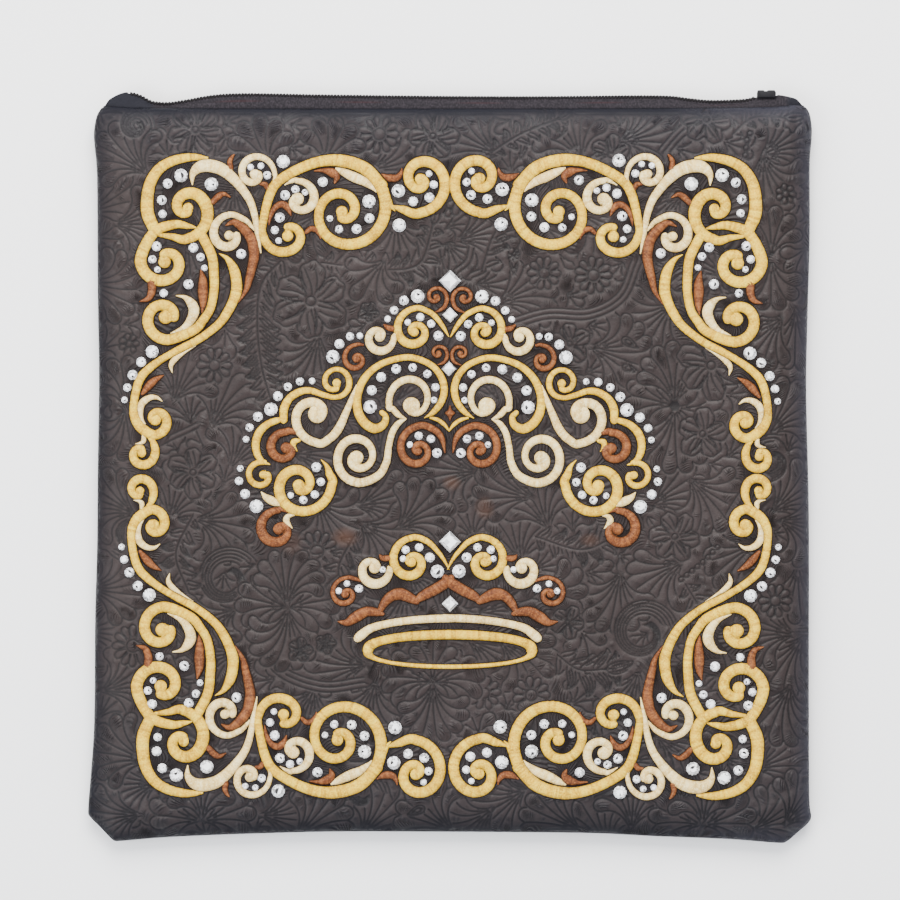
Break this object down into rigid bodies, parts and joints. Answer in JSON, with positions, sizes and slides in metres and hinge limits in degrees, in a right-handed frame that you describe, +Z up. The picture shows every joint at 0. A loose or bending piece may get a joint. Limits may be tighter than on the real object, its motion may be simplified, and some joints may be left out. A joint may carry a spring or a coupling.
{
  "type": "tallit bag",
  "caption": "Flat square zip bag for a prayer shawl in tooled dark leather, with raised satin-stitch scrollwork, a tiara and a crown in gold, cream and copper, and flat-back crystals",
  "frame": {"origin": "on the floor, under the middle of the bag's box, with the bag lying on its back", "axes": "+X runs along the zip to its closed end, +Y runs from the bottom edge to the zip, +Z points up out of the embroidered front"},
  "size_m": [0.339, 0.3525, 0.0222],
  "materials": {
    "leather": "tooled, satin",
    "gold_thread": "satin stitch",
    "cream_thread": "satin stitch",
    "copper_thread": "satin stitch",
    "crystal": "faceted, foil-backed",
    "zip_tape": "woven",
    "zip_coil": "satin",
    "zip_metal": "dark, satin"
  },
  "bodies": {
    "root": {"front_panel": "leather", "back_panel": "leather", "zip_tape_front": "zip_tape", "zip_tape_back": "zip_tape", "zip_coil": "zip_coil", "zip_slider": "zip_metal", "frame_top_left": "gold_thread", "frame_top_right": "gold_thread", "frame_bottom_left": "gold_thread", "frame_bottom_right": "gold_thread", "tiara_body_left": "gold_thread", "tiara_body_right": "gold_thread", "tiara_vine_left": "cream_thread", "tiara_vine_right": "cream_thread", "tiara_heart_left": "copper_thread", "tiara_heart_right": "copper_thread", "tiara_bud_left": "copper_thread", "tiara_bud_right": "copper_thread", "tiara_hook_left": "copper_thread", "tiara_hook_right": "copper_thread", "tiara_end_left": "gold_thread", "tiara_end_right": "gold_thread", "tiara_crest": "gold_thread", "crown_crest": "gold_thread", "crown_waved_rim": "copper_thread", "crown_far_rim": "cream_thread", "crown_ring": "gold_thread", "stone_top_left_1": "crystal", "stone_top_left_2": "crystal", "stone_top_left_3": "crystal", "stone_top_left_4": "crystal", "stone_top_left_5": "crystal", "stone_top_left_6": "crystal", "stone_top_left_7": "crystal", "stone_top_right_1": "crystal", "stone_top_right_2": "crystal", "stone_top_right_3": "crystal", "stone_top_right_4": "crystal", "stone_top_right_5": "crystal", "stone_top_right_6": "crystal", "stone_top_right_7": "crystal", "stone_bottom_left_1": "crystal", "stone_bottom_left_2": "crystal", "stone_bottom_left_3": "crystal", "stone_bottom_left_4": "crystal", "stone_bottom_left_5": "crystal", "stone_bottom_left_6": "crystal", "stone_bottom_left_7": "crystal", "stone_bottom_right_1": "crystal", "stone_bottom_right_2": "crystal", "stone_bottom_right_3": "crystal", "stone_bottom_right_4": "crystal", "stone_bottom_right_5": "crystal", "stone_bottom_right_6": "crystal", "stone_bottom_right_7": "crystal", "square_stone_1": "crystal", "square_stone_2": "crystal", "square_stone_3": "crystal", "square_stone_4": "crystal", "square_stone_5": "crystal"}
  },
  "joints": []
}
